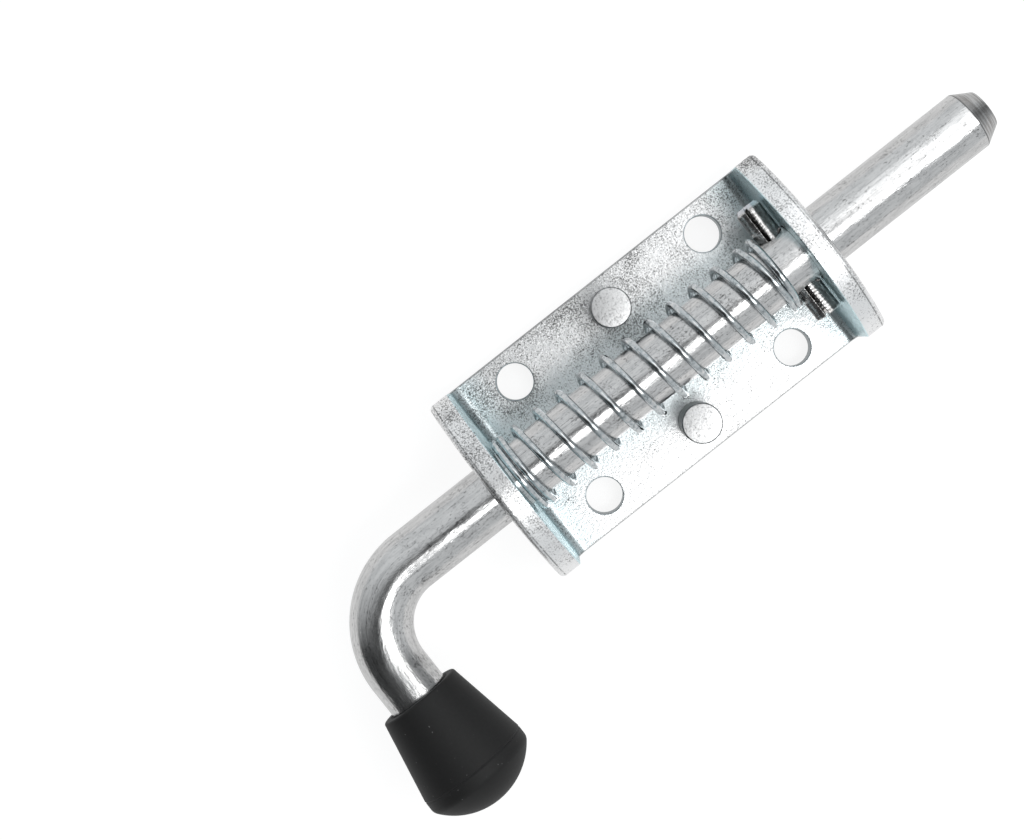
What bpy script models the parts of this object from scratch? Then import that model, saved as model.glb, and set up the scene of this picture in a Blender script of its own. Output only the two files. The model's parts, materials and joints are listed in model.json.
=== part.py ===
"""Spring latch pin.

A half-inch rod slides and turns in a folded steel bracket. A compression spring between the
bracket's rear flange and a slotted pin through the rod holds the rod out, and a rubber cap on
the bent end is the handle. Two studs riveted to the plate stand just below the slotted pin's path:
pulled back and turned a little, the pin drops one end behind a stud and stays open.

Frame: metres, +Z out of the plate, origin at the middle of the plate's underside. +X runs along
the rod to its working end, and the handle arm points to -Y.
"""

import math

import bmesh
import bpy

# Bracket: one strip of sheet steel, punched and folded into a U
sheet = 0.00475
bracket_width = 0.0427
inside_length = 0.0722
bend_inner_radius = 0.0022
flange_crown = 0.0299
flange_corner = 0.0192
flange_corner_radius = 0.0014
punched_edge_roll = 0.0011
burr_edge_break = 0.0003

# Bolt holes in the plate
bolt_hole_diameter = 0.0076
bolt_end_distance = 0.01635
bolt_side_distance = 0.0065

# Latch rod: straight, one bend, and the arm that carries the cap
rod_diameter = 0.0127
rod_height = 0.0195
rod_bore_clearance = 0.0003
tip_reach = 0.0410
tip_chamfer_length = 0.0038
tip_end_diameter = 0.0082
tip_end_round = 0.0005
bend_radius = 0.0155
bend_distance = 0.02105
arm_bare_length = 0.00645

# Slotted spring pin across the rod
pin_diameter = 0.00556
pin_length = 0.0268
pin_offset = 0.0006
pin_wall = 0.0011
pin_slot = 0.0008
pin_lead_length = 0.0011
pin_lead_depth = 0.0006
pin_end_break = 0.0002
pin_slot_tilt_deg = 16.0

# Compression spring
wire_diameter = 0.0015
spring_rod_clearance = 0.0008
spring_turns = 13.6
rear_closed_turns = 1.0
rear_closed_pitch = 0.0016
rear_easing_turns = 1.1
front_square_turns = 0.6
front_square_pitch = 0.0001
front_easing_turns = 0.9
points_per_turn = 18

# Stop studs, riveted through the plate
stud_diameter = 0.0082
stud_side_distance = 0.00665
stud_edge_round = 0.0003
shank_diameter = 0.0050
rivet_foot_diameter = 0.0074
rivet_foot_depth = 0.0014
rivet_foot_recess = 0.0001

# Rubber handle cap
cap_mouth_diameter = 0.0174
cap_wide_diameter = 0.0235
cap_cone_length = 0.0168
cap_length = 0.0257
cap_dome_radius = 0.0142
cap_knee_round = 0.0020
cap_bore_depth = 0.0162
cap_lip_round = 0.0005
cap_bore_chamfer = 0.0004
cap_seam_depth = 0.0002
cap_seam_width = 0.0005

# Gap kept between pieces that touch on the real latch, and the slotted pin's gap over the studs
seat_gap = 0.0003
stud_pass_gap = 0.0004

# Facets on round pieces, and how far a cutter runs past what it cuts
round_facets = 32
cap_facets = 40
pin_facets = 24
arch_facets = 24
arc_facets = 8
corner_facets = 4
rod_bevel_resolution = 12
wire_bevel_resolution = 2
cutter_overrun = 0.002
weld_distance = 0.000001

# Places that follow from the sizes above
outside_length = inside_length + 2.0 * sheet
half_width = bracket_width / 2.0
bend_outer_radius = bend_inner_radius + sheet
rod_radius = rod_diameter / 2.0
pin_radius = pin_diameter / 2.0
wire_radius = wire_diameter / 2.0
front_inner_x = inside_length / 2.0
front_outer_x = outside_length / 2.0
bolt_x = front_outer_x - bolt_end_distance
bolt_y = half_width - bolt_side_distance
stud_y = half_width - stud_side_distance
tip_x = front_outer_x + tip_reach
pin_x = front_inner_x - seat_gap - pin_radius
bend_start_x = -front_outer_x - bend_distance
arm_x = bend_start_x - bend_radius
cap_mouth_distance = bend_radius + arm_bare_length
stud_top = rod_height - pin_radius - stud_pass_gap


def clear_scene():
    """Remove what the scene holds, so that the script starts from nothing."""
    for thing in list(bpy.data.objects):
        bpy.data.objects.remove(thing, do_unlink=True)


def make_collection(name):
    """Add a collection to the scene."""
    collection = bpy.data.collections.new(name)
    bpy.context.scene.collection.children.link(collection)
    return collection


def make_material(name, colour, roughness, metallic):
    """A Principled material with one colour."""
    material = bpy.data.materials.new(name)
    material.use_nodes = True
    shader = material.node_tree.nodes["Principled BSDF"]
    shader.inputs["Base Color"].default_value = (*colour, 1.0)
    shader.inputs["Roughness"].default_value = roughness
    shader.inputs["Metallic"].default_value = metallic
    material.diffuse_color = (*colour, 1.0)
    return material


def mesh_object(name, shape, collection):
    """Turn a bmesh into an object in a collection."""
    mesh = bpy.data.meshes.new(name)
    shape.to_mesh(mesh)
    shape.free()
    thing = bpy.data.objects.new(name, mesh)
    collection.objects.link(thing)
    return thing


def hide_cutter(thing):
    """Mark an object as a cutter, which is drawn as wire and never rendered."""
    thing.hide_render = True
    thing.display_type = "WIRE"


def boolean(target, cutter, operation):
    """Add an exact Boolean modifier."""
    modifier = target.modifiers.new(cutter.name, "BOOLEAN")
    modifier.object = cutter
    modifier.operation = operation
    modifier.solver = "EXACT"


def smooth_round(thing, angle_deg=35.0):
    """Shade a mesh smooth, with edges sharper than the angle kept sharp."""
    thing.data.shade_smooth()
    thing.data.set_sharp_from_angle(angle=math.radians(angle_deg))


def as_mesh(thing, collection):
    """Replace a curve, or a mesh with modifiers, by the closed mesh that it makes."""
    bpy.context.view_layer.update()
    graph = bpy.context.evaluated_depsgraph_get()
    mesh = bpy.data.meshes.new_from_object(thing.evaluated_get(graph))
    shape = bmesh.new()
    shape.from_mesh(mesh)
    bmesh.ops.remove_doubles(shape, verts=shape.verts, dist=weld_distance)
    shape.to_mesh(mesh)
    shape.free()
    name = thing.name
    place = thing.matrix_world.copy()
    bpy.data.objects.remove(thing, do_unlink=True)
    solid = bpy.data.objects.new(name, mesh)
    solid.matrix_world = place
    collection.objects.link(solid)
    return solid


def tube(name, path, radius, bevel_resolution, collection, radius_factors=None):
    """A round bar along a path, as a poly curve with filled caps."""
    curve = bpy.data.curves.new(name, "CURVE")
    curve.dimensions = "3D"
    curve.bevel_depth = radius
    curve.bevel_resolution = bevel_resolution
    curve.use_fill_caps = True
    spline = curve.splines.new("POLY")
    spline.points.add(len(path) - 1)
    for index, place in enumerate(path):
        spline.points[index].co = (*place, 1.0)
        if radius_factors:
            spline.points[index].radius = radius_factors[index]
    thing = bpy.data.objects.new(name, curve)
    collection.objects.link(thing)
    bpy.context.view_layer.update()
    return thing


def flat_outline(name, corners, thickness, collection):
    """A filled flat outline of the given thickness, as a 2D curve."""
    curve = bpy.data.curves.new(name, "CURVE")
    curve.dimensions = "2D"
    curve.fill_mode = "BOTH"
    curve.extrude = thickness / 2.0
    spline = curve.splines.new("POLY")
    spline.points.add(len(corners) - 1)
    for index, corner in enumerate(corners):
        spline.points[index].co = (corner[0], corner[1], 0.0, 1.0)
    spline.use_cyclic_u = True
    thing = bpy.data.objects.new(name, curve)
    collection.objects.link(thing)
    return thing


def turned(name, profile, facets, collection):
    """A turned piece: a profile in the XZ plane, swept round Z by a Screw modifier."""
    shape = bmesh.new()
    corners = [shape.verts.new((radius, 0.0, height)) for radius, height in profile]
    for first, second in zip(corners, corners[1:]):
        shape.edges.new((first, second))
    thing = mesh_object(name, shape, collection)
    screw = thing.modifiers.new("turn", "SCREW")
    screw.axis = "Z"
    screw.angle = math.tau
    screw.steps = facets
    screw.render_steps = facets
    screw.use_merge_vertices = True
    screw.merge_threshold = weld_distance
    screw.use_smooth_shade = True
    return thing


def cylinder_cutter(name, radius, length, middle, turn, collection):
    """A cylinder that cuts, with its middle at a point, turned by Euler angles."""
    shape = bmesh.new()
    bmesh.ops.create_cone(
        shape,
        cap_ends=True,
        segments=round_facets,
        radius1=radius,
        radius2=radius,
        depth=length,
    )
    thing = mesh_object(name, shape, collection)
    thing.location = middle
    thing.rotation_euler = turn
    hide_cutter(thing)
    return thing


def arc(centre, radius, start_deg, end_deg, facets):
    """Points on an arc in a plane, both ends included."""
    points = []
    for step in range(facets + 1):
        angle = math.radians(start_deg + (end_deg - start_deg) * step / facets)
        points.append((centre[0] + radius * math.cos(angle), centre[1] + radius * math.sin(angle)))
    return points


def bracket_side_path():
    """The strip's outer face in side view, as (x, z), from the rear flange round to the front one."""
    top = flange_crown + cutter_overrun
    bend_middle = front_outer_x - bend_outer_radius
    path = [(-front_outer_x, top)]
    path += arc((-bend_middle, bend_outer_radius), bend_outer_radius, 180.0, 270.0, arc_facets)
    path += arc((bend_middle, bend_outer_radius), bend_outer_radius, 270.0, 360.0, arc_facets)
    path.append((front_outer_x, top))
    return path


def bracket_front_outline():
    """The strip's outline in front view, as (y, z): straight sides and an arched top."""
    rise = flange_crown - flange_corner
    arch_radius = (half_width * half_width + rise * rise) / (2.0 * rise)
    arch_middle = flange_crown - arch_radius
    inner_reach = arch_radius - flange_corner_radius
    corner_y = half_width - flange_corner_radius
    corner_z = arch_middle + math.sqrt(inner_reach * inner_reach - corner_y * corner_y)
    blend_deg = math.degrees(math.atan2(corner_z - arch_middle, corner_y))
    arch = arc((0.0, arch_middle), arch_radius, blend_deg, 180.0 - blend_deg, arch_facets)
    outline = [(half_width, -cutter_overrun)]
    outline += arc((corner_y, corner_z), flange_corner_radius, 0.0, blend_deg, corner_facets)
    outline += arch[1:-1]
    outline += arc((-corner_y, corner_z), flange_corner_radius, 180.0 - blend_deg, 180.0, corner_facets)
    outline.append((-half_width, -cutter_overrun))
    return outline


def depth_in_sheet(place):
    """How far a point of the folded strip lies in from the strip's outer face."""
    from_bend_x = abs(place.x) - (front_outer_x - bend_outer_radius)
    from_bend_z = bend_outer_radius - place.z
    if from_bend_x > 0.0 and from_bend_z > 0.0:
        return bend_outer_radius - math.hypot(from_bend_x, from_bend_z)
    return min(place.z, front_outer_x - abs(place.x))


def round_punched_edges(bracket):
    """Roll over the edges that the punch pressed in, all on the outer face, and break the others."""
    shape = bmesh.new()
    shape.from_mesh(bracket.data)
    bmesh.ops.dissolve_degenerate(shape, dist=weld_distance, edges=shape.edges)
    for on_outside, width in ((True, punched_edge_roll), (False, burr_edge_break)):
        rim = [
            edge
            for edge in shape.edges
            if edge.is_manifold
            and edge.calc_face_angle() > math.radians(60.0)
            and all((depth_in_sheet(corner.co) < sheet / 2.0) == on_outside for corner in edge.verts)
        ]
        bmesh.ops.bevel(
            shape,
            geom=rim,
            offset=width,
            segments=3,
            affect="EDGES",
            profile=0.5,
            material=-1,
        )
    shape.to_mesh(bracket.data)
    shape.free()


def make_bracket(parts, cutters, finish):
    """The folded bracket: two arched flanges on one plate, drilled for the rod, bolts and studs."""
    spare_half = half_width + cutter_overrun
    shape = bmesh.new()
    corners = [shape.verts.new((x, -spare_half, z)) for x, z in bracket_side_path()]
    edges = [shape.edges.new(pair) for pair in zip(corners, corners[1:])]
    swept = bmesh.ops.extrude_edge_only(shape, edges=edges)["geom"]
    moved = [item for item in swept if isinstance(item, bmesh.types.BMVert)]
    bmesh.ops.translate(shape, verts=moved, vec=(0.0, 2.0 * spare_half, 0.0))
    bmesh.ops.recalc_face_normals(shape, faces=shape.faces)
    strip = mesh_object("bracket", shape, parts)

    thickness = strip.modifiers.new("sheet", "SOLIDIFY")
    thickness.thickness = sheet
    plate_faces_up = strip.data.polygons[len(edges) // 2].normal.z > 0.0
    thickness.offset = 1.0 if plate_faces_up else -1.0
    thickness.use_even_offset = True

    reach = outside_length + 2.0 * cutter_overrun
    outline = flat_outline("bracket_outline", bracket_front_outline(), reach, cutters)
    outline.rotation_euler = (math.radians(90.0), 0.0, math.radians(90.0))
    outline = as_mesh(outline, cutters)
    hide_cutter(outline)
    boolean(strip, outline, "INTERSECT")
    bracket = as_mesh(strip, parts)
    round_punched_edges(bracket)
    bracket.name = "bracket"
    bracket.data.materials.clear()
    bracket.data.materials.append(finish)
    smooth_round(bracket)

    drill_length = sheet + 2.0 * cutter_overrun
    for side_x in (-1.0, 1.0):
        for side_y in (-1.0, 1.0):
            middle = (side_x * bolt_x, side_y * bolt_y, sheet / 2.0)
            hole = cylinder_cutter(
                "bolt_hole", bolt_hole_diameter / 2.0, drill_length, middle, (0.0, 0.0, 0.0), cutters
            )
            boolean(bracket, hole, "DIFFERENCE")

    for side_y in (-1.0, 1.0):
        seat = turned("rivet_hole", rivet_hole_profile(), round_facets, cutters)
        seat.location = (0.0, side_y * stud_y, 0.0)
        hide_cutter(seat)
        boolean(bracket, seat, "DIFFERENCE")

    bore = cylinder_cutter(
        "rod_bore",
        rod_radius + rod_bore_clearance,
        reach,
        (0.0, 0.0, rod_height),
        (0.0, math.radians(90.0), 0.0),
        cutters,
    )
    boolean(bracket, bore, "DIFFERENCE")
    return bracket


def rivet_hole_profile():
    """The stud's hole in the plate, countersunk below, as (radius, height) from the top down."""
    shank = shank_diameter / 2.0 + seat_gap
    foot = rivet_foot_diameter / 2.0 + seat_gap
    top = sheet + cutter_overrun
    return [
        (0.0, top),
        (shank, top),
        (shank, rivet_foot_depth + seat_gap),
        (foot, 0.0),
        (foot, -cutter_overrun),
        (0.0, -cutter_overrun),
    ]


def stud_profile():
    """A stop stud: a plain round head, a shoulder on the plate, a shank and a flush rivet foot."""
    radius = stud_diameter / 2.0
    shank = shank_diameter / 2.0
    shoulder = sheet + seat_gap
    profile = [(0.0, stud_top)]
    profile += arc(
        (radius - stud_edge_round, stud_top - stud_edge_round), stud_edge_round, 90.0, 0.0, corner_facets
    )
    profile += [(radius, shoulder), (shank, shoulder), (shank, rivet_foot_depth)]
    profile += [(rivet_foot_diameter / 2.0, rivet_foot_recess), (0.0, rivet_foot_recess)]
    return profile


def make_stud(name, side_y, parts, finish):
    """One stop stud, riveted through the plate beside the spring."""
    stud = turned(name, stud_profile(), round_facets, parts)
    stud.location = (0.0, side_y * stud_y, 0.0)
    stud.data.materials.append(finish)
    return stud


def rod_path():
    """The rod's centre line about its own axis, from the arm's end to the tip, with radius factors."""
    arm_end = -(cap_mouth_distance + cap_bore_depth - seat_gap)
    path = [(arm_x, arm_end), (arm_x, -cap_mouth_distance)]
    path += arc((bend_start_x, -bend_radius), bend_radius, 180.0, 90.0, arc_facets)
    factors = [1.0] * len(path)
    end_factor = tip_end_diameter / rod_diameter
    edge_factor = (tip_end_diameter + 2.0 * tip_end_round) / rod_diameter
    for x, factor in (
        (tip_x - tip_chamfer_length, 1.0),
        (tip_x - tip_end_round, edge_factor),
        (tip_x, end_factor),
    ):
        path.append((x, 0.0))
        factors.append(factor)
    return [(x, y, 0.0) for x, y in path], factors


def make_rod(axis, parts, cutters, finish):
    """The latch rod, bent once, with the cross hole for the slotted pin."""
    path, factors = rod_path()
    rod = tube("latch_rod", path, rod_radius, rod_bevel_resolution, parts, factors)
    rod = as_mesh(rod, parts)
    rod.parent = axis
    rod.data.materials.append(finish)
    smooth_round(rod)
    hole = cylinder_cutter(
        "pin_hole",
        pin_radius + seat_gap,
        rod_diameter + 2.0 * cutter_overrun,
        (pin_x, 0.0, rod_height),
        (math.radians(90.0), 0.0, 0.0),
        cutters,
    )
    boolean(rod, hole, "DIFFERENCE")
    return rod


def make_roll_pin(axis, parts, finish):
    """The slotted spring pin: sheet rolled into a split tube, with a lead on the end driven last."""
    half = pin_length / 2.0
    line = [
        (-half, pin_radius - pin_end_break),
        (-half + pin_end_break, pin_radius),
        (half - pin_lead_length, pin_radius),
        (half, pin_radius - pin_lead_depth),
    ]
    open_angle = 2.0 * math.asin(pin_slot / pin_diameter)
    start = math.radians(90.0 + pin_slot_tilt_deg) + open_angle / 2.0
    shape = bmesh.new()
    corners = [
        shape.verts.new((radius * math.cos(start), y, radius * math.sin(start))) for y, radius in line
    ]
    edges = [shape.edges.new(pair) for pair in zip(corners, corners[1:])]
    bmesh.ops.spin(
        shape,
        geom=corners + edges,
        cent=(0.0, 0.0, 0.0),
        axis=(0.0, -1.0, 0.0),
        angle=math.tau - open_angle,
        steps=pin_facets,
        use_merge=False,
    )
    bmesh.ops.recalc_face_normals(shape, faces=shape.faces)
    pin = mesh_object("roll_pin", shape, parts)
    pin.parent = axis
    pin.location = (pin_x, pin_offset, 0.0)
    pin.data.materials.append(finish)
    wall = pin.modifiers.new("wall", "SOLIDIFY")
    wall.thickness = pin_wall
    faces_out = pin.data.polygons[0].normal.dot(pin.data.polygons[0].center) > 0.0
    wall.offset = -1.0 if faces_out else 1.0
    smooth_round(pin)
    return pin


def openness_at(turn):
    """0 where the coil is wound closed or square, 1 where it is fully open, easing between."""
    from_rear = (turn - rear_closed_turns) / rear_easing_turns
    from_front = (spring_turns - turn - front_square_turns) / front_easing_turns
    return min(max(min(from_rear, from_front), 0.0), 1.0)


def spring_path():
    """The wire's centre line about the rod's axis: closed at the rear, squared at the slotted pin."""
    rear = -front_inner_x + seat_gap + wire_radius
    front = pin_x - pin_radius - seat_gap - wire_radius
    coil_radius = rod_radius + spring_rod_clearance + wire_radius
    steps = round(spring_turns * points_per_turn)
    middles = [(step + 0.5) / points_per_turn for step in range(steps)]
    openness = [openness_at(turn) for turn in middles]
    end_pitch = [
        rear_closed_pitch if turn < spring_turns / 2.0 else front_square_pitch for turn in middles
    ]
    end_travel = sum(
        pitch * (1.0 - share) / points_per_turn for pitch, share in zip(end_pitch, openness)
    )
    open_pitch = (front - rear - end_travel) * points_per_turn / sum(openness)
    x = rear
    path = [(x, coil_radius, 0.0)]
    for step, (pitch, share) in enumerate(zip(end_pitch, openness)):
        x += (pitch * (1.0 - share) + open_pitch * share) / points_per_turn
        angle = math.tau * (step + 1) / points_per_turn
        path.append((x, coil_radius * math.cos(angle), coil_radius * math.sin(angle)))
    return path


def make_spring(axis, parts, finish):
    """The compression spring, a right-handed coil round the rod."""
    spring = tube("spring", spring_path(), wire_radius, wire_bevel_resolution, parts)
    spring.parent = axis
    spring.data.materials.append(finish)
    return spring


def cap_profile():
    """The rubber cap from the bottom of its blind bore, over the lip and down to the domed end."""
    bore = rod_radius + seat_gap
    mouth = cap_mouth_diameter / 2.0
    wide = cap_wide_diameter / 2.0
    seam_end = -cap_cone_length - cap_seam_width
    dome_middle = cap_dome_radius - cap_length
    knee_y = wide - cap_knee_round
    knee_drop = math.sqrt((cap_dome_radius - cap_knee_round) ** 2 - knee_y**2)
    knee_deg = -math.degrees(math.atan2(knee_drop, knee_y))
    profile = [(0.0, -cap_bore_depth), (bore, -cap_bore_depth), (bore, -cap_bore_chamfer)]
    profile += [(bore + cap_bore_chamfer, 0.0)]
    profile += arc((mouth - cap_lip_round, -cap_lip_round), cap_lip_round, 90.0, 0.0, corner_facets)
    profile += [(wide, -cap_cone_length), (wide - cap_seam_depth, -cap_cone_length - cap_seam_width / 2.0)]
    profile += [(wide, seam_end)]
    profile += arc((knee_y, dome_middle - knee_drop), cap_knee_round, 0.0, knee_deg, corner_facets)
    profile += arc((0.0, dome_middle), cap_dome_radius, knee_deg, -90.0, arc_facets)[1:-1]
    profile.append((0.0, -cap_length))
    return profile


def make_cap(axis, parts, finish):
    """The rubber cap pushed over the arm, its mouth towards the bend."""
    cap = turned("handle_cap", cap_profile(), cap_facets, parts)
    cap.parent = axis
    cap.location = (arm_x, -cap_mouth_distance, 0.0)
    cap.rotation_euler = (math.radians(-90.0), 0.0, 0.0)
    cap.data.materials.append(finish)
    return cap


def make_rod_axis(parts):
    """The empty on the rod's axis, which carries everything that slides and turns."""
    axis = bpy.data.objects.new("rod_axis", None)
    axis.location = (0.0, 0.0, rod_height)
    axis.empty_display_size = rod_diameter
    parts.objects.link(axis)
    bpy.context.view_layer.update()
    return axis


def main():
    clear_scene()
    parts = make_collection("spring_latch_pin")
    cutters = make_collection("cutters")
    bright_zinc = make_material("bright_zinc", (0.70, 0.72, 0.74), 0.38, 1.0)
    rod_zinc = make_material("rod_zinc", (0.62, 0.63, 0.65), 0.32, 1.0)
    stud_zinc = make_material("stud_zinc", (0.78, 0.79, 0.80), 0.36, 1.0)
    spring_steel = make_material("spring_steel", (0.45, 0.49, 0.53), 0.25, 1.0)
    dark_steel = make_material("dark_steel", (0.10, 0.10, 0.11), 0.30, 1.0)
    black_rubber = make_material("black_rubber", (0.018, 0.018, 0.019), 0.75, 0.0)
    make_bracket(parts, cutters, bright_zinc)
    make_stud("stop_stud_left", 1.0, parts, stud_zinc)
    make_stud("stop_stud_right", -1.0, parts, stud_zinc)
    axis = make_rod_axis(parts)
    make_rod(axis, parts, cutters, rod_zinc)
    make_roll_pin(axis, parts, dark_steel)
    make_spring(axis, parts, spring_steel)
    make_cap(axis, parts, black_rubber)


main()
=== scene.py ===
# %% [markdown]
# Spring latch pin, dressed for its portrait.
#
# A latch like this is bolted to a gate or a trailer. A bent steel rod slides in a folded bracket,
# a coil spring pushes the rod out, and a rubber cap makes the bent end kind to the hand. The
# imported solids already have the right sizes, but their round faces are built from flat facets.
# Each cell below makes a smooth, finely rounded version of one real piece, puts it exactly where
# its solid is, and gives it its finish.

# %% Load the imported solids
import json
import math

import bmesh
import bpy
from mathutils import Matrix, Vector


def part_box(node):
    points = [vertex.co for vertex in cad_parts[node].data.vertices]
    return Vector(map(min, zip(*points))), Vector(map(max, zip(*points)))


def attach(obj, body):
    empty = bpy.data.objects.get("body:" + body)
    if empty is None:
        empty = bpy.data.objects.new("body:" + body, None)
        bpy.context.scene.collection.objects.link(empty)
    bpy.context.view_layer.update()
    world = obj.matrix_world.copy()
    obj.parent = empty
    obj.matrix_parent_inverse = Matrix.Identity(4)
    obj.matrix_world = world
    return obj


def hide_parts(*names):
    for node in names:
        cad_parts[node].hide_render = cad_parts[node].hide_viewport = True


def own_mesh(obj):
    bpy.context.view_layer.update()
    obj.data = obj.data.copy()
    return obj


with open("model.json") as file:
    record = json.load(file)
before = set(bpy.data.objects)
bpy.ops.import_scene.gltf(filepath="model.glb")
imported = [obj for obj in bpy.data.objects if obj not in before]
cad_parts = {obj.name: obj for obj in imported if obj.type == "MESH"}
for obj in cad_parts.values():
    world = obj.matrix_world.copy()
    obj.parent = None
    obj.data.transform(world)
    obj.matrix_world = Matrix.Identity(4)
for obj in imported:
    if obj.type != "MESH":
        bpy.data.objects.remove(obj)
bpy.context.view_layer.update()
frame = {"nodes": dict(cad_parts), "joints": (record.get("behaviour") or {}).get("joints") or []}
print("solids:", sorted(frame["nodes"]))

# %% [markdown]
# Sizes come first. Everything that a box can tell is read from the solids, so that the smooth
# pieces follow them: the height of the rod's axis, the width of the bracket, the reach of the
# tip. What a box can't tell, such as the sheet's thickness or a bend's radius, is a named value.

# %% Read the main sizes from the solids
plate_low, plate_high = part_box("bracket")
rod_low, rod_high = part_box("latch_rod")
pin_low, pin_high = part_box("roll_pin")
coil_low, coil_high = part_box("spring")
stud_low, stud_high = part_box("stop_stud_left")
cap_low, cap_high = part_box("handle_cap")

outside_length = plate_high.x - plate_low.x
half_width = (plate_high.y - plate_low.y) / 2.0
flange_crown = plate_high.z
rod_radius = (rod_high.z - rod_low.z) / 2.0
rod_height = (rod_high.z + rod_low.z) / 2.0
tip_x = rod_high.x
arm_x = rod_low.x + rod_radius
arm_end_y = rod_low.y
pin_radius = (pin_high.z - pin_low.z) / 2.0
pin_x = (pin_high.x + pin_low.x) / 2.0
stud_y = (stud_high.y + stud_low.y) / 2.0
stud_radius = (stud_high.y - stud_low.y) / 2.0
stud_top = stud_high.z
cap_mouth_y = cap_high.y
cap_length = cap_high.y - cap_low.y
cap_wide_radius = (cap_high.z - cap_low.z) / 2.0
print("rod radius", round(rod_radius * 1000.0, 2), "mm, axis", round(rod_height * 1000.0, 2), "mm up")

# %% [markdown]
# The other sizes come from the picture and from stock: the sheet is 3/16 inch thick, and the four
# bolt holes lie on a rectangle of 49 by 29.7 mm.

# %% Name the sizes that a box can't tell
sheet = 0.00475
bend_inner_radius = 0.0022
bend_outer_radius = bend_inner_radius + sheet
front_x = outside_length / 2.0
arch_corner_height = 0.0192
arch_corner_radius = 0.0014
rod_bend_radius = 0.0155
bolt_x = 0.0245
bolt_y = 0.01485
bolt_radius = 0.0038
bore_clearance = 0.0003
seat_gap = 0.0003
merge_distance = 0.000001
on_wall_within = 0.00001
sharp_fold = math.radians(60.0)
soft_fold = math.radians(24.0)
print("bracket", round(outside_length * 1000.0, 1), "mm over the flanges")

# %% [markdown]
# A few helpers keep the cells short. One starts a chain of edges from a handful of points, one
# turns a chain round an axis as a lathe would, one merges doubled points and turns the faces
# outwards, and one takes a bmesh into the scene. The last puts a finished piece in the place of its
# solid: it shades the piece smooth, hangs it on the body that carries it and hides the solid.

# %% Helpers for shapes
def chain(shape, points):
    """Edges through a few points, as the start of a spin or an extrusion."""
    corners = [shape.verts.new(point) for point in points]
    edges = [shape.edges.new(pair) for pair in zip(corners, corners[1:])]
    return corners + edges


def arc_points(middle, radius, start_deg, end_deg, steps):
    """Points of an arc in a plane, both ends included."""
    points = []
    for step in range(steps + 1):
        angle = math.radians(start_deg + (end_deg - start_deg) * step / steps)
        points.append((middle[0] + radius * math.cos(angle), middle[1] + radius * math.sin(angle)))
    return points


def close_up(shape):
    """Merge doubled points and turn every face outwards."""
    bmesh.ops.remove_doubles(shape, verts=shape.verts, dist=merge_distance)
    bmesh.ops.recalc_face_normals(shape, faces=shape.faces)


def turn_profile(points, middle, axis, steps):
    """A lathe: a chain of points swept a full turn round an axis."""
    shape = bmesh.new()
    start = chain(shape, points)
    bmesh.ops.spin(
        shape, geom=start, cent=middle, axis=axis, angle=math.tau, steps=steps, use_merge=True
    )
    close_up(shape)
    return shape


def to_object(name, shape):
    """A bmesh as a new object at the origin."""
    mesh = bpy.data.meshes.new(name)
    shape.to_mesh(mesh)
    shape.free()
    thing = bpy.data.objects.new(name, mesh)
    bpy.context.scene.collection.objects.link(thing)
    return thing


def applied(thing):
    """Bake the modifiers of an object into its mesh."""
    graph = bpy.context.evaluated_depsgraph_get()
    mesh = bpy.data.meshes.new_from_object(thing.evaluated_get(graph))
    thing.modifiers.clear()
    thing.data = mesh
    return thing


def cut(thing, cutter, operation="DIFFERENCE"):
    """Cut one object with another, at once, and remove the cutter."""
    modifier = thing.modifiers.new("cut", "BOOLEAN")
    modifier.object = cutter
    modifier.operation = operation
    modifier.solver = "EXACT"
    applied(thing)
    bpy.data.objects.remove(cutter, do_unlink=True)
    return thing


def drill(radius, length, middle, turn=Matrix.Identity(4), segments=96):
    """A round bar to cut with."""
    shape = bmesh.new()
    bmesh.ops.create_cone(
        shape, cap_ends=True, segments=segments, radius1=radius, radius2=radius, depth=length
    )
    bmesh.ops.transform(shape, matrix=Matrix.Translation(middle) @ turn, verts=shape.verts)
    return to_object("drill", shape)


def bevel_edges(shape, edges, width, segments):
    """Round chosen edges."""
    bmesh.ops.bevel(
        shape,
        geom=edges,
        offset=width,
        segments=segments,
        affect="EDGES",
        profile=0.5,
        material=-1,
    )


def stand_for(thing, node, body):
    """Put a finished piece in the place of its solid."""
    thing.data.shade_smooth()
    thing.data.set_sharp_from_angle(angle=soft_fold)
    weigh = thing.modifiers.new("even_shading", "WEIGHTED_NORMAL")
    weigh.keep_sharp = True
    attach(thing, body)
    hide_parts(node)
    print(thing.name, "has", len(thing.data.polygons), "faces")
    return thing


print("helpers ready")

# %% [markdown]
# The bracket is one strip of sheet steel, punched out and folded into a U. It could be a box
# with a hole through it, but then the bends would have the wrong thickness. Here a single point
# walks round the strip's outer face: it is extruded down the rear flange, spun round the bend,
# extruded along the plate and spun up the front flange. The chain is then pulled sideways and
# thickened inwards, as the real strip is.

# %% Walk round the strip and thicken it
bend_steps = 16
spare = 0.002
bend_middle_x = front_x - bend_outer_radius


def last_point(made):
    """The point that an extrusion or a spin left at its far end."""
    return [item for item in made if isinstance(item, bmesh.types.BMVert)][-1]


def pull_point(shape, point, distance):
    """Extrude one point into an edge."""
    made = bmesh.ops.extrude_vert_indiv(shape, verts=[point])
    far = made["verts"][0]
    bmesh.ops.translate(shape, verts=[far], vec=distance)
    return far


def swing_point(shape, point, middle):
    """Spin one point a quarter turn round a bend."""
    made = bmesh.ops.spin(
        shape,
        geom=[point],
        cent=middle,
        axis=(0.0, -1.0, 0.0),
        angle=math.pi / 2.0,
        steps=bend_steps,
        use_merge=False,
    )
    return last_point(made["geom_last"])


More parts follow.
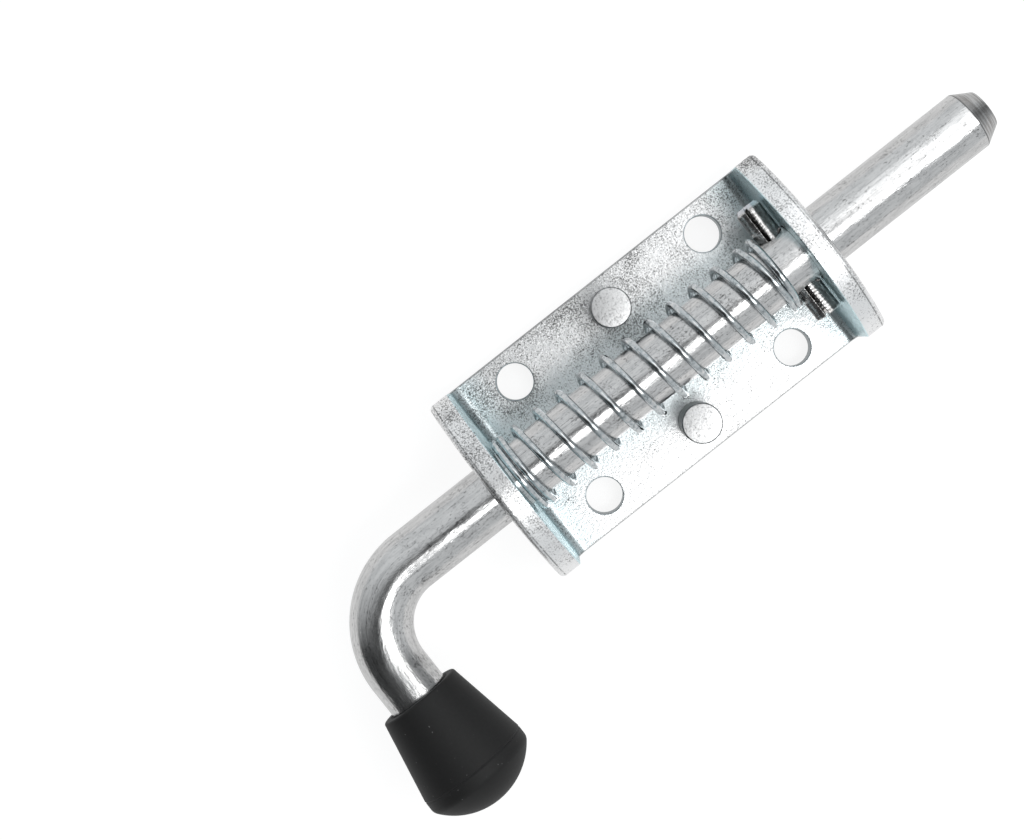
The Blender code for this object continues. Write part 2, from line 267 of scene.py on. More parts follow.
strip = bmesh.new()
walker = strip.verts.new((-front_x, -half_width - spare, flange_crown + spare))
walker = pull_point(strip, walker, (0.0, 0.0, bend_outer_radius - flange_crown - spare))
walker = swing_point(strip, walker, (-bend_middle_x, 0.0, bend_outer_radius))
walker = pull_point(strip, walker, (2.0 * bend_middle_x, 0.0, 0.0))
walker = swing_point(strip, walker, (bend_middle_x, 0.0, bend_outer_radius))
walker = pull_point(strip, walker, (0.0, 0.0, flange_crown + spare - bend_outer_radius))
swept = bmesh.ops.extrude_edge_only(strip, edges=strip.edges[:])["geom"]
moved = [item for item in swept if isinstance(item, bmesh.types.BMVert)]
bmesh.ops.translate(strip, verts=moved, vec=(0.0, 2.0 * (half_width + spare), 0.0))
bmesh.ops.remove_doubles(strip, verts=strip.verts, dist=merge_distance)
bmesh.ops.recalc_face_normals(strip, faces=strip.faces)
underside = min(strip.faces, key=lambda face: face.calc_center_median().z)
plate_faces_up = underside.normal.z > 0.0
bracket = to_object("bracket_folded", strip)
wall = bracket.modifiers.new("sheet", "SOLIDIFY")
wall.thickness = sheet
wall.offset = 1.0 if plate_faces_up else -1.0
wall.use_even_offset = True
applied(bracket)
print("folded strip:", len(bracket.data.polygons), "faces")

# %% [markdown]
# The flanges have arched tops with small corners. The arch belongs to the blank before it is
# folded, so it is cut in one go: the outline seen from the front becomes a long bar, and what
# the strip and the bar share is kept.

# %% Cut the arched outline
rise = flange_crown - arch_corner_height
arch_radius = (half_width**2 + rise**2) / (2.0 * rise)
arch_middle = flange_crown - arch_radius
corner_y = half_width - arch_corner_radius
corner_z = arch_middle + math.sqrt((arch_radius - arch_corner_radius) ** 2 - corner_y**2)
meet_deg = math.degrees(math.atan2(corner_z - arch_middle, corner_y))
outline = [(half_width, -spare)]
outline += arc_points((corner_y, corner_z), arch_corner_radius, 0.0, meet_deg, 8)
outline += arc_points((0.0, arch_middle), arch_radius, meet_deg, 180.0 - meet_deg, 64)[1:-1]
outline += arc_points((-corner_y, corner_z), arch_corner_radius, 180.0 - meet_deg, 180.0, 8)
outline += [(-half_width, -spare)]

bar = bmesh.new()
rim = [bar.verts.new((-front_x - spare, y, z)) for y, z in outline]
end = bar.faces.new(rim)
pushed = bmesh.ops.extrude_face_region(bar, geom=[end])["geom"]
far_rim = [item for item in pushed if isinstance(item, bmesh.types.BMVert)]
bmesh.ops.translate(bar, verts=far_rim, vec=(2.0 * (front_x + spare), 0.0, 0.0))
bmesh.ops.recalc_face_normals(bar, faces=bar.faces)
cut(bracket, to_object("arch_bar", bar), "INTERSECT")
print("arched strip:", len(bracket.data.polygons), "faces")

# %% [markdown]
# A punch presses one face of the sheet in before it shears, so that edge is rolled over by about
# a millimetre, while the other edge is only broken. On the real bracket the rolled edge is on the
# outside of the U, and it shows as a second, darker band beside each flange's flat top. The
# edges are sorted by how deep they lie in the sheet, and bevelled with two widths.

# %% Roll over the punched edges
punched_roll = 0.0011
burr_break = 0.0003


def depth_in_sheet(place):
    """How far a point of the strip lies in from the outer face."""
    past_x = abs(place.x) - bend_middle_x
    past_z = bend_outer_radius - place.z
    if past_x > 0.0 and past_z > 0.0:
        return bend_outer_radius - math.hypot(past_x, past_z)
    return min(place.z, front_x - abs(place.x))


def rim_edges(shape, outside):
    """The sheared edges on the outer or the inner face."""
    return [
        edge
        for edge in shape.edges
        if edge.is_manifold
        and edge.calc_face_angle() > sharp_fold
        and all((depth_in_sheet(corner.co) < sheet / 2.0) == outside for corner in edge.verts)
    ]


shape = bmesh.new()
shape.from_mesh(bracket.data)
close_up(shape)
bmesh.ops.dissolve_degenerate(shape, dist=merge_distance, edges=shape.edges)
bevel_edges(shape, rim_edges(shape, True), punched_roll, 6)
bevel_edges(shape, rim_edges(shape, False), burr_break, 3)
shape.to_mesh(bracket.data)
shape.free()
print("rounded strip:", len(bracket.data.polygons), "faces")

# %% [markdown]
# Now the holes: four for bolts, one through each flange for the rod, and two under the studs.
# Each is cut with a fine round bar. A drilled hole has no knife edge, so the rims of the holes
# get a hair of a bevel, which is what catches the light in a close view.

# %% Drill the bracket
rod_bore_radius = rod_radius + bore_clearance
shank_radius = 0.0025
hole_break = 0.00018
along_x = Matrix.Rotation(math.radians(90.0), 4, "Y")
for side_x in (-1.0, 1.0):
    for side_y in (-1.0, 1.0):
        middle = (side_x * bolt_x, side_y * bolt_y, sheet / 2.0)
        cut(bracket, drill(bolt_radius, sheet * 2.0, middle))
for side_y in (-1.0, 1.0):
    cut(bracket, drill(shank_radius + seat_gap, sheet * 2.0, (0.0, side_y * stud_y, sheet / 2.0)))
cut(bracket, drill(rod_bore_radius, outside_length * 1.5, (0.0, 0.0, rod_height), along_x))


def on_bolt_hole(edge):
    """True for an edge on the wall of a bolt hole."""
    return all(
        abs(math.hypot(abs(corner.co.x) - bolt_x, abs(corner.co.y) - bolt_y) - bolt_radius)
        < on_wall_within
        for corner in edge.verts
    )


def on_rod_bore(edge):
    """True for an edge on the wall of the rod's bore."""
    return all(
        abs(math.hypot(corner.co.y, corner.co.z - rod_height) - rod_bore_radius) < on_wall_within
        for corner in edge.verts
    )


shape = bmesh.new()
shape.from_mesh(bracket.data)
close_up(shape)
rims = [
    edge
    for edge in shape.edges
    if edge.is_manifold
    and edge.calc_face_angle() > sharp_fold
    and (on_bolt_hole(edge) or on_rod_bore(edge))
]
bevel_edges(shape, rims, hole_break, 2)
shape.to_mesh(bracket.data)
shape.free()
stand_for(bracket, "bracket", "bracket_body")

# %% [markdown]
# The two studs are plain turned pins, riveted into the plate beside the spring. A lathe shape is
# a profile spun round its axis, so only half of the section is described: the flat top, its
# rounded edge, the side, the shoulder on the plate and the shank below it.

# %% Turn the two studs
stud_edge_round = 0.0003
foot_radius = 0.0037
foot_depth = 0.0014
foot_recess = 0.0001
shoulder = sheet + seat_gap
for name, side_y in (("left", 1.0), ("right", -1.0)):
    edge_round = arc_points(
        (stud_radius - stud_edge_round, stud_top - stud_edge_round), stud_edge_round, 90.0, 0.0, 6
    )
    section = [(0.0, stud_top)]
    section += edge_round
    section += [(stud_radius, shoulder), (shank_radius, shoulder), (shank_radius, foot_depth)]
    section += [(foot_radius, foot_recess), (0.0, foot_recess)]
    profile = [(radius, side_y * stud_y, height) for radius, height in section]
    stud = to_object(
        "stud_turned_" + name, turn_profile(profile, (0.0, side_y * stud_y, 0.0), (0, 0, 1), 96)
    )
    stand_for(stud, "stop_stud_" + name, "bracket_body")

# %% [markdown]
# The rod starts as round bar. It could be a curve with a bevel, but then the bend and the tip
# would need tricks. Following the bar is simpler: a circle at the end of the arm is extruded to
# the bend, spun a quarter turn round the bend's centre, extruded to the tip, and drawn in there
# for the chamfer.

# %% Bend the rod
rod_segments = 96
bend_y = -rod_bend_radius
bend_x = arm_x + rod_bend_radius
tip_chamfer = 0.0038
tip_end_radius = 0.0041
tip_round = 0.0005


def ring_of(made):
    """The ring of points that an extrusion left at its far end."""
    return [item for item in made["geom"] if isinstance(item, bmesh.types.BMVert)]


def push_ring(shape, ring, distance):
    """Extrude a ring of edges along a straight run."""
    inside = set(ring)
    edges = [edge for edge in shape.edges if set(edge.verts) <= inside]
    far = ring_of(bmesh.ops.extrude_edge_only(shape, edges=edges))
    bmesh.ops.translate(shape, verts=far, vec=distance)
    return far


def resize_ring(shape, ring, middle, share):
    """Draw a ring in towards the axis."""
    place = Matrix.Translation(middle)
    bmesh.ops.scale(shape, verts=ring, vec=(1.0, share, share), space=place.inverted())


bar = bmesh.new()
to_arm_end = Matrix.Translation((arm_x, arm_end_y, rod_height)) @ Matrix.Rotation(
    math.radians(-90.0), 4, "X"
)
ring = bmesh.ops.create_circle(
    bar, cap_ends=True, segments=rod_segments, radius=rod_radius, matrix=to_arm_end
)["verts"]
ring = push_ring(bar, ring, (0.0, bend_y - arm_end_y, 0.0))
inside = set(ring)
hoop = [edge for edge in bar.edges if set(edge.verts) <= inside]
spun = bmesh.ops.spin(
    bar,
    geom=ring + hoop,
    cent=(bend_x, bend_y, rod_height),
    axis=(0.0, 0.0, -1.0),
    angle=math.pi / 2.0,
    steps=40,
    use_merge=False,
)
ring = [item for item in spun["geom_last"] if isinstance(item, bmesh.types.BMVert)]
ring = push_ring(bar, ring, (tip_x - tip_chamfer - bend_x, 0.0, 0.0))
ring = push_ring(bar, ring, (tip_chamfer - tip_round, 0.0, 0.0))
rounded_radius = tip_end_radius + tip_round * 0.6
resize_ring(bar, ring, (0.0, 0.0, rod_height), rounded_radius / rod_radius)
ring = push_ring(bar, ring, (tip_round, 0.0, 0.0))
resize_ring(bar, ring, (0.0, 0.0, rod_height), tip_end_radius / rounded_radius)
inside = set(ring)
bmesh.ops.edgeloop_fill(bar, edges=[edge for edge in bar.edges if set(edge.verts) <= inside])
close_up(bar)
rod = to_object("rod_bent", bar)
print("rod from", round(arm_x * 1000.0, 1), "to", round(tip_x * 1000.0, 1), "mm")

# %% [markdown]
# The cross pin sits in a hole through the rod, near its front end. The hole runs along Y, so the
# drill, which stands upright when it is made, is laid down first.

# %% Drill the rod for the cross pin
pin_hole_radius = pin_radius + seat_gap
across_y = Matrix.Rotation(math.radians(90.0), 4, "X")
cut(rod, drill(pin_hole_radius, rod_radius * 4.0, (pin_x, 0.0, rod_height), across_y))
stand_for(rod, "latch_rod", "rod_body")

# %% [markdown]
# The cross pin is not solid bar but spring steel rolled into a split tube, so that it grips its
# hole. A line as long as the pin is spun most of the way round, which leaves the slot, and the
# open shell is thickened inwards. The end that was driven in has a lead, a short cone.

# %% Roll the slotted pin
pin_wall = 0.0011
pin_slot = 0.0008
pin_slot_tilt = math.radians(16.0)
pin_lead_length = 0.0011
pin_lead_depth = 0.0006
pin_end_break = 0.0002
pin_rim_break = 0.00008
slot_angle = 2.0 * math.asin(pin_slot / (2.0 * pin_radius))
slot_side = math.pi / 2.0 + pin_slot_tilt + slot_angle / 2.0
line = [
    (pin_low.y, pin_radius - pin_end_break),
    (pin_low.y + pin_end_break, pin_radius),
    (pin_high.y - pin_lead_length, pin_radius),
    (pin_high.y, pin_radius - pin_lead_depth),
]
sheet_roll = bmesh.new()
start = chain(
    sheet_roll,
    [
        (pin_x + radius * math.cos(slot_side), y, rod_height + radius * math.sin(slot_side))
        for y, radius in line
    ],
)
bmesh.ops.spin(
    sheet_roll,
    geom=start,
    cent=(pin_x, 0.0, rod_height),
    axis=(0.0, -1.0, 0.0),
    angle=math.tau - slot_angle,
    steps=80,
    use_merge=False,
)
bmesh.ops.recalc_face_normals(sheet_roll, faces=sheet_roll.faces)
one_face = next(iter(sheet_roll.faces))
faces_out = one_face.normal.dot(one_face.calc_center_median() - Vector((pin_x, 0.0, rod_height))) > 0.0
pin = to_object("pin_rolled", sheet_roll)
wall = pin.modifiers.new("wall", "SOLIDIFY")
wall.thickness = pin_wall
wall.offset = -1.0 if faces_out else 1.0
edge = pin.modifiers.new("edge", "BEVEL")
edge.width = pin_rim_break
edge.segments = 2
edge.limit_method = "ANGLE"
edge.angle_limit = sharp_fold
applied(pin)
stand_for(pin, "roll_pin", "rod_body")

# %% [markdown]
# The spring is one wire wound round the rod. It could be a curve, but a spin does the winding
# itself: a small circle is turned by one step and moved along by that step's share of the pitch,
# again and again. The pitch changes on the way: closed turns against the rear flange, wide ones
# in the middle, and a squared end that sits flat on the pin.

# %% Wind the spring
wire_radius = 0.00075
coil_radius = (coil_high.y - coil_low.y) / 2.0 - wire_radius
turns = 13.6
steps_per_turn = 48
rear_closed_turns = 1.0
rear_closed_pitch = 0.0016
rear_easing_turns = 1.1
front_square_turns = 0.6
front_square_pitch = 0.0001
front_easing_turns = 0.9
first_x = coil_low.x + wire_radius
last_x = coil_high.x - wire_radius


def openness(turn):
    """0 where the coil is closed or square, 1 where it is fully open."""
    from_rear = (turn - rear_closed_turns) / rear_easing_turns
    from_front = (turns - turn - front_square_turns) / front_easing_turns
    return min(max(min(from_rear, from_front), 0.0), 1.0)


step_count = round(turns * steps_per_turn)
middles = [(step + 0.5) / steps_per_turn for step in range(step_count)]
shares = [openness(turn) for turn in middles]
end_pitches = [rear_closed_pitch if turn < turns / 2.0 else front_square_pitch for turn in middles]
end_travel = sum(pitch * (1.0 - share) for pitch, share in zip(end_pitches, shares)) / steps_per_turn
open_pitch = (last_x - first_x - end_travel) * steps_per_turn / sum(shares)

wire = bmesh.new()
wire_start = Matrix.Translation((first_x, coil_radius, rod_height))
ring = bmesh.ops.create_circle(
    wire, cap_ends=True, segments=16, radius=wire_radius, matrix=wire_start
)["verts"]
hoop = wire.edges[:]
for pitch, share in zip(end_pitches, shares):
    travel = (pitch * (1.0 - share) + open_pitch * share) / steps_per_turn
    spun = bmesh.ops.spin(
        wire,
        geom=ring + hoop,
        cent=(0.0, 0.0, rod_height),
        axis=(1.0, 0.0, 0.0),
        dvec=(travel, 0.0, 0.0),
        angle=math.tau / steps_per_turn,
        steps=1,
        use_merge=False,
    )
    ring = [item for item in spun["geom_last"] if isinstance(item, bmesh.types.BMVert)]
    hoop = [item for item in spun["geom_last"] if isinstance(item, bmesh.types.BMEdge)]
bmesh.ops.edgeloop_fill(wire, edges=hoop)
close_up(wire)
spring = to_object("spring_wound", wire)
stand_for(spring, "spring", "spring_body")
print("open pitch", round(open_pitch * 1000.0, 2), "mm over", turns, "turns")

# %% [markdown]
# When the handle is pulled, the pin presses the spring together against the rear flange. This
# cell reads the rod's full travel from the slide joint and gives the spring a mesh of its own.

# %% Read the rod's travel and give the spring its own mesh
travel = next(joint for joint in frame["joints"] if joint["name"] == "rod_slide")["range_m"][1]
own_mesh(spring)

# %% [markdown]
# The handle cap is moulded rubber, pushed over the arm. It is round, so it is turned like the
# studs: up the blind bore, over a small lip at the mouth, down a straight cone, over the fine
# parting line at the widest place, round the knee and across the shallow dome.

# %% Mould the cap
cap_mouth_radius = 0.0087
cap_cone = 0.0168
dome_radius = 0.0142
knee_round = 0.0020
bore_depth = 0.0162
lip_round = 0.0005
bore_chamfer = 0.0004
seam_depth = 0.00012
seam_width = 0.0005
bore_radius = rod_radius + seat_gap
dome_middle = dome_radius - cap_length
knee_y = cap_wide_radius - knee_round
knee_drop = math.sqrt((dome_radius - knee_round) ** 2 - knee_y**2)
knee_deg = -math.degrees(math.atan2(knee_drop, knee_y))
section = [(0.0, -bore_depth), (bore_radius, -bore_depth), (bore_radius, -bore_chamfer)]
section += [(bore_radius + bore_chamfer, 0.0)]
section += arc_points((cap_mouth_radius - lip_round, -lip_round), lip_round, 90.0, 0.0, 8)
section += [(cap_wide_radius, -cap_cone)]
section += [(cap_wide_radius - seam_depth, -cap_cone - seam_width / 2.0)]
section += [(cap_wide_radius, -cap_cone - seam_width)]
section += arc_points((knee_y, dome_middle - knee_drop), knee_round, 0.0, knee_deg, 10)
section += arc_points((0.0, dome_middle), dome_radius, knee_deg, -90.0, 24)[1:-1]
section += [(0.0, -cap_length)]
profile = [(arm_x + radius, cap_mouth_y + along, rod_height) for radius, along in section]
cap = to_object("cap_moulded", turn_profile(profile, (arm_x, 0.0, rod_height), (0, 1, 0), 128))
stand_for(cap, "handle_cap", "rod_body")

# %% [markdown]
# Finishes next. A finish is a small graph of nodes on a Principled shader. Object coordinates
# keep every pattern fixed to its piece at its real size, so a speck of a third of a millimetre
# stays that size. These helpers add a node, a noise at a given grain, and a ramp of greys.

# %% Helpers for finishes
def new_finish(name, colour, roughness, metallic):
    """A new material, with its Principled shader and its Object coordinates."""
    material = bpy.data.materials.new(name)
    material.use_nodes = True
    nodes = material.node_tree.nodes
    shader = nodes["Principled BSDF"]
    shader.inputs["Base Color"].default_value = (*colour, 1.0)
    shader.inputs["Roughness"].default_value = roughness
    shader.inputs["Metallic"].default_value = metallic
    place = nodes.new("ShaderNodeTexCoord")
    return material, shader, place.outputs["Object"]


def join(material, source, target):
    """Link two sockets."""
    material.node_tree.links.new(source, target)


def stretched(material, place, scale):
    """Coordinates scaled by axis, for streaks."""
    mapping = material.node_tree.nodes.new("ShaderNodeMapping")
    mapping.inputs["Scale"].default_value = scale
    join(material, place, mapping.inputs["Vector"])
    return mapping.outputs["Vector"]


def noise(material, place, grain, detail=4.0, roughness=0.6, distortion=0.0):
    """A noise whose blotches are about one grain across, in metres."""
    node = material.node_tree.nodes.new("ShaderNodeTexNoise")
    node.inputs["Scale"].default_value = 1.0 / grain
    node.inputs["Detail"].default_value = detail
    node.inputs["Roughness"].default_value = roughness
    node.inputs["Distortion"].default_value = distortion
    join(material, place, node.inputs["Vector"])
    return node.outputs["Fac"]


def ramp(material, value, stops):
    """A ramp through (position, colour) stops."""
    node = material.node_tree.nodes.new("ShaderNodeValToRGB")
    points = node.color_ramp.elements
    while len(points) < len(stops):
        points.new(0.5)
    for point, (position, colour) in zip(points, stops):
        point.position = position
        point.color = (*colour, 1.0)
    join(material, value, node.inputs["Fac"])
    return node.outputs["Color"]


def blend(material, first, second, share, kind="MIX"):
    """Mix two colours by a share, which is a number or a socket."""
    node = material.node_tree.nodes.new("ShaderNodeMix")
    node.data_type = "RGBA"
    node.blend_type = kind
    for socket, value in ((node.inputs[6], first), (node.inputs[7], second), (node.inputs[0], share)):
        if isinstance(value, bpy.types.NodeSocket):
            join(material, value, socket)
        else:
            socket.default_value = value
    return node.outputs[2]


def calculate(material, operation, first, second=None):
    """One math node, from sockets or numbers."""
    node = material.node_tree.nodes.new("ShaderNodeMath")
    node.operation = operation
    for socket, value in zip(node.inputs, (first, second)):
        if isinstance(value, bpy.types.NodeSocket):
            join(material, value, socket)
        elif value is not None:
            socket.default_value = value
    return node.outputs[0]


def reach(material, first, second):
    """How far a point is off, from the two parts of its distance."""
    squares = [calculate(material, "POWER", part, 2.0) for part in (first, second)]
    return calculate(material, "SQRT", calculate(material, "ADD", *squares))


def spread(material, value, low, high, new_low, new_high):
    """Move a value from one range to another, and clamp it there."""
    node = material.node_tree.nodes.new("ShaderNodeMapRange")
    for key, number in (
        ("From Min", low),
        ("From Max", high),
        ("To Min", new_low),
        ("To Max", new_high),
    ):
        node.inputs[key].default_value = number
    join(material, value, node.inputs["Value"])
    return node.outputs["Result"]


def bump(material, shader, height, depth, strength=1.0):
    """Raise the surface by a height of 0 to 1, as deep as the given distance in metres."""
    node = material.node_tree.nodes.new("ShaderNodeBump")
    node.inputs["Distance"].default_value = depth
    node.inputs["Strength"].default_value = strength
    join(material, height, node.inputs["Height"])
    join(material, node.outputs["Normal"], shader.inputs["Normal"])


def grey(level, tint=(1.0, 1.0, 1.0)):
    """A grey, slightly tinted."""
    return tuple(level * share for share in tint)


def wear(piece, material):
    """Give a piece its finish."""
    piece.data.materials.clear()
    piece.data.materials.append(material)
    print(piece.name, "wears", material.name)


print("finish helpers ready")

# %% [markdown]
# The bracket is zinc plated over rolled sheet. Up close that is not a clean mirror: the rolled
# grain leaves a salt-and-pepper sparkle of a third of a millimetre, and in places dark specks
# crowd together. A fine noise makes the specks, a coarser one lifts the surface, and a broad one
# moves the point at which a speck turns dark, so that the specks come in clouds. The specks are
# also painted denser on the left half of the plate and sparser on the right half, as painted shade
# on the left and painted light on the right.

# %% Zinc for the bracket: grain, specks and painted side shade
sheet_grain = 0.00036
sheet_ripple = 0.0008
sheet_clouds = 0.008
zinc, shader, place = new_finish("bright_zinc", (0.80, 0.82, 0.83), 0.32, 1.0)
grain = noise(zinc, place, sheet_grain, detail=3.0, roughness=0.85)
ripple = noise(zinc, place, sheet_ripple, detail=3.0, roughness=0.75)
clouds = noise(zinc, place, sheet_clouds, detail=2.0)
parts = zinc.node_tree.nodes.new("ShaderNodeSeparateXYZ")
join(zinc, place, parts.inputs[0])
crowding = spread(zinc, clouds, 0.35, 0.65, -0.04, 0.09)
# Painted shade on the left half of the plate and painted light on the right: dark specks crowd on the
# left and thin out on the right. From here on, crowding carries this painted side shade too.
painted_side_shade = spread(zinc, parts.outputs["Y"], -0.012, 0.020, -0.05, 0.03)
crowding = calculate(zinc, "ADD", crowding, painted_side_shade)
specks_and_side_shade = ramp(
    zinc,
    calculate(zinc, "SUBTRACT", grain, crowding),
    [(0.32, grey(0.12)), (0.40, grey(0.60)), (0.49, grey(0.95))],
)
join(zinc, spread(zinc, clouds, 0.3, 0.7, 0.29, 0.38), shader.inputs["Roughness"])
bump(zinc, shader, ripple, 0.00008, 0.8)
print("grain of", sheet_grain * 1000.0, "mm in clouds of", sheet_clouds * 1000.0, "mm")

# %% [markdown]
# A bluish painted shade lies where the U is shaded and mirrors its dark surroundings: on the inner
# faces of the flanges, down in the two bends and on the plate beside the spring. The sheared tops
# of the flanges are neutral grey, with a fine dark line where the punch's rolled edge ends. Both
# follow the piece's own coordinates, so they are placed with ranges of X, Y and Z.

# %% Zinc for the bracket: painted blue shade in the U, a line on the flanges
out_x = calculate(zinc, "ABSOLUTE", parts.outputs["X"])
out_y = calculate(zinc, "ABSOLUTE", parts.outputs["Y"])
up = parts.outputs["Z"]
inner_x = front_x - sheet
blue_shade_reach = 0.008
# Painted shade: a bluish darkening on the inner faces of the flanges, in the bends, on the plate by the
# flanges and beside the spring.
within = spread(zinc, out_x, inner_x + 0.0001, inner_x + 0.0003, 1.0, 0.0)
on_face = spread(zinc, up, sheet, sheet + bend_inner_radius, 0.0, 1.0)
by_flange = spread(zinc, out_x, inner_x - blue_shade_reach, inner_x - 0.001, 0.0, 0.5)
by_rod = spread(zinc, out_y, 0.009, 0.0135, 0.3, 0.0)
blue_shade = calculate(zinc, "MAXIMUM", calculate(zinc, "MAXIMUM", on_face, by_flange), by_rod)
blue_shade = calculate(zinc, "MULTIPLY", blue_shade, within)
blue_shaded = blend(zinc, specks_and_side_shade, (0.78, 0.98, 1.02, 1.0), blue_shade, "MULTIPLY")
off_line = calculate(
    zinc, "ABSOLUTE", calculate(zinc, "SUBTRACT", out_x, front_x - punched_roll + 0.00006)
)
line = spread(zinc, off_line, 0.00006, 0.00020, 0.9, 0.0)
line = calculate(zinc, "MULTIPLY", line, spread(zinc, up, 0.017, 0.0185, 0.0, 1.0))
line = calculate(zinc, "MULTIPLY", line, spread(zinc, ripple, 0.38, 0.52, 0.15, 1.0))
lined = blend(zinc, blue_shaded, (0.25, 0.25, 0.25, 1.0), line, "MULTIPLY")
print("blue down to", round((inner_x - blue_shade_reach) * 1000.0, 1), "mm from the middle")

# %% [markdown]
# Two more places are darker on any plated bracket. The walls of the punched holes were torn by the
# punch, and the long edges of the plate were sheared, so both are rough and hold less zinc. The
# distance from a hole's centre picks out its wall, and the distance across the plate its edges.

# %% Zinc for the bracket: hole walls and sheared edges
from_x = calculate(zinc, "SUBTRACT", out_x, bolt_x)
from_y = calculate(zinc, "SUBTRACT", out_y, bolt_y)
from_hole = reach(zinc, from_x, from_y)
wall_reach = calculate(zinc, "MULTIPLY", grain, 0.0004)
on_wall = spread(
    zinc,
    calculate(zinc, "SUBTRACT", from_hole, wall_reach),
    bolt_radius - 0.00005,
    bolt_radius + 0.00008,
    0.9,
    0.0,
)
walled = blend(zinc, lined, (0.16, 0.20, 0.215, 1.0), on_wall)
edge_reach = calculate(zinc, "MULTIPLY", grain, 0.0006)
on_edge = spread(
    zinc,
    calculate(zinc, "ADD", out_y, edge_reach),
    half_width - 0.00012,
    half_width + 0.00002,
    0.0,
    0.75,
)
on_edge = calculate(zinc, "MULTIPLY", on_edge, spread(zinc, up, 0.010, 0.014, 1.0, 0.0))
edged = blend(zinc, walled, (0.30, 0.30, 0.30, 1.0), on_edge)
join(zinc, edged, shader.inputs["Base Color"])
wear(bracket, zinc)

# %% [markdown]
# The studs are plated too. Their turned sides and the rounded edge of each top are painted dark, as
# painted shade and painted reflection, and the flat tops keep the plain grain. The distance from a
# stud's axis tells the two apart.

# %% Zinc for the studs
stud_zinc, shader, place = new_finish("stud_zinc", (0.82, 0.83, 0.83), 0.34, 1.0)
grain = noise(stud_zinc, place, 0.0005, detail=3.0, roughness=0.7)
top_colour = ramp(stud_zinc, grain, [(0.32, grey(0.34)), (0.42, grey(0.60)), (0.55, grey(0.74))])
parts = stud_zinc.node_tree.nodes.new("ShaderNodeSeparateXYZ")
join(stud_zinc, place, parts.inputs[0])
from_axis = calculate(
    stud_zinc, "SUBTRACT", calculate(stud_zinc, "ABSOLUTE", parts.outputs["Y"]), stud_y
)
from_axis = reach(stud_zinc, parts.outputs["X"], from_axis)
# Painted shade and reflection: the side and the rounded edge of the top are painted dark.
side_shade_share = spread(stud_zinc, from_axis, stud_radius - 0.00032, stud_radius - 0.00012, 0.0, 1.0)
side_shade_colour = ramp(stud_zinc, grain, [(0.35, grey(0.10)), (0.6, grey(0.24, (0.93, 1.0, 1.03)))])
join(stud_zinc, blend(stud_zinc, top_colour, side_shade_colour, side_shade_share), shader.inputs["Base Color"])
bump(stud_zinc, shader, grain, 0.00005, 0.6)
for name in ("stud_turned_left", "stud_turned_right"):
    wear(bpy.data.objects[name], stud_zinc)

# %% [markdown]
# The rod was drawn straight and bent later, so its marks follow it round the bend, which the
# object's own X and Y can't do. A few math nodes unroll them. The length along the bar, with the
# bend counted as an arc, takes the place of X. The distance from the bend's centre takes that of Y.

# %% Zinc for the rod: coordinates along the bar
rod_zinc, shader, place = new_finish("rod_zinc", (0.70, 0.71, 0.72), 0.22, 1.0)
parts = rod_zinc.node_tree.nodes.new("ShaderNodeSeparateXYZ")
join(rod_zinc, place, parts.inputs[0])
past_x = calculate(rod_zinc, "SUBTRACT", parts.outputs["X"], bend_x)
past_y = calculate(rod_zinc, "SUBTRACT", parts.outputs["Y"], bend_y)
in_bend_x = calculate(rod_zinc, "MAXIMUM", calculate(rod_zinc, "MULTIPLY", past_x, -1.0), 0.0)
in_bend_y = calculate(rod_zinc, "MAXIMUM", past_y, 0.0)
turned = calculate(rod_zinc, "ARCTAN2", in_bend_x, in_bend_y)
arc = calculate(rod_zinc, "MULTIPLY", turned, -rod_bend_radius)
runs = calculate(
    rod_zinc,
    "ADD",
    calculate(rod_zinc, "MAXIMUM", past_x, 0.0),
    calculate(rod_zinc, "MINIMUM", past_y, 0.0),
)
unrolled = rod_zinc.node_tree.nodes.new("ShaderNodeCombineXYZ")
join(rod_zinc, calculate(rod_zinc, "ADD", arc, runs), unrolled.inputs["X"])
join(rod_zinc, reach(rod_zinc, in_bend_x, in_bend_y), unrolled.inputs["Y"])
join(rod_zinc, parts.outputs["Z"], unrolled.inputs["Z"])
bar_place = unrolled.outputs["Vector"]
print("bend centre", round(bend_x * 1000.0, 1), round(bend_y * 1000.0, 1), "mm")

# %% [markdown]
# Drawing leaves faint lines along the bar, so one noise is stretched that way. Over them come the
# grain of the plating, which breaks up the edges of every reflection, and the marks of use: dark
# specks, and a few short nicks where the rod has rubbed in its bores.

# %% Zinc for the rod: grain, lines and nicks
bar_grain = 0.00045
bar_patches = 0.006
streaks = noise(rod_zinc, stretched(rod_zinc, bar_place, (0.15, 1.0, 1.0)), 0.0007, detail=3.0)
grain = noise(
    rod_zinc, stretched(rod_zinc, bar_place, (0.6, 1.0, 1.0)), bar_grain, detail=3.0, roughness=0.8
)
ripple = noise(
    rod_zinc, stretched(rod_zinc, bar_place, (0.3, 1.0, 1.0)), 0.0011, detail=3.0, roughness=0.6
)
patches = noise(rod_zinc, bar_place, bar_patches, detail=2.0)
nicks = noise(
    rod_zinc, stretched(rod_zinc, bar_place, (0.35, 1.0, 1.0)), 0.0018, detail=6.0, roughness=0.8
)
streak_colour = ramp(rod_zinc, streaks, [(0.32, grey(0.54)), (0.60, grey(0.68, (1.0, 0.995, 0.99)))])
crowding = spread(rod_zinc, patches, 0.45, 0.7, -0.06, 0.06)
grain_colour = ramp(
    rod_zinc,
    calculate(rod_zinc, "SUBTRACT", grain, crowding),
    [(0.32, grey(0.16)), (0.41, grey(0.78)), (0.50, grey(1.0))],
)
nick_colour = ramp(rod_zinc, nicks, [(0.315, grey(0.15)), (0.35, grey(1.0))])
marked = blend(rod_zinc, streak_colour, grain_colour, 0.9, "MULTIPLY")
marked = blend(rod_zinc, marked, nick_colour, 0.85, "MULTIPLY")
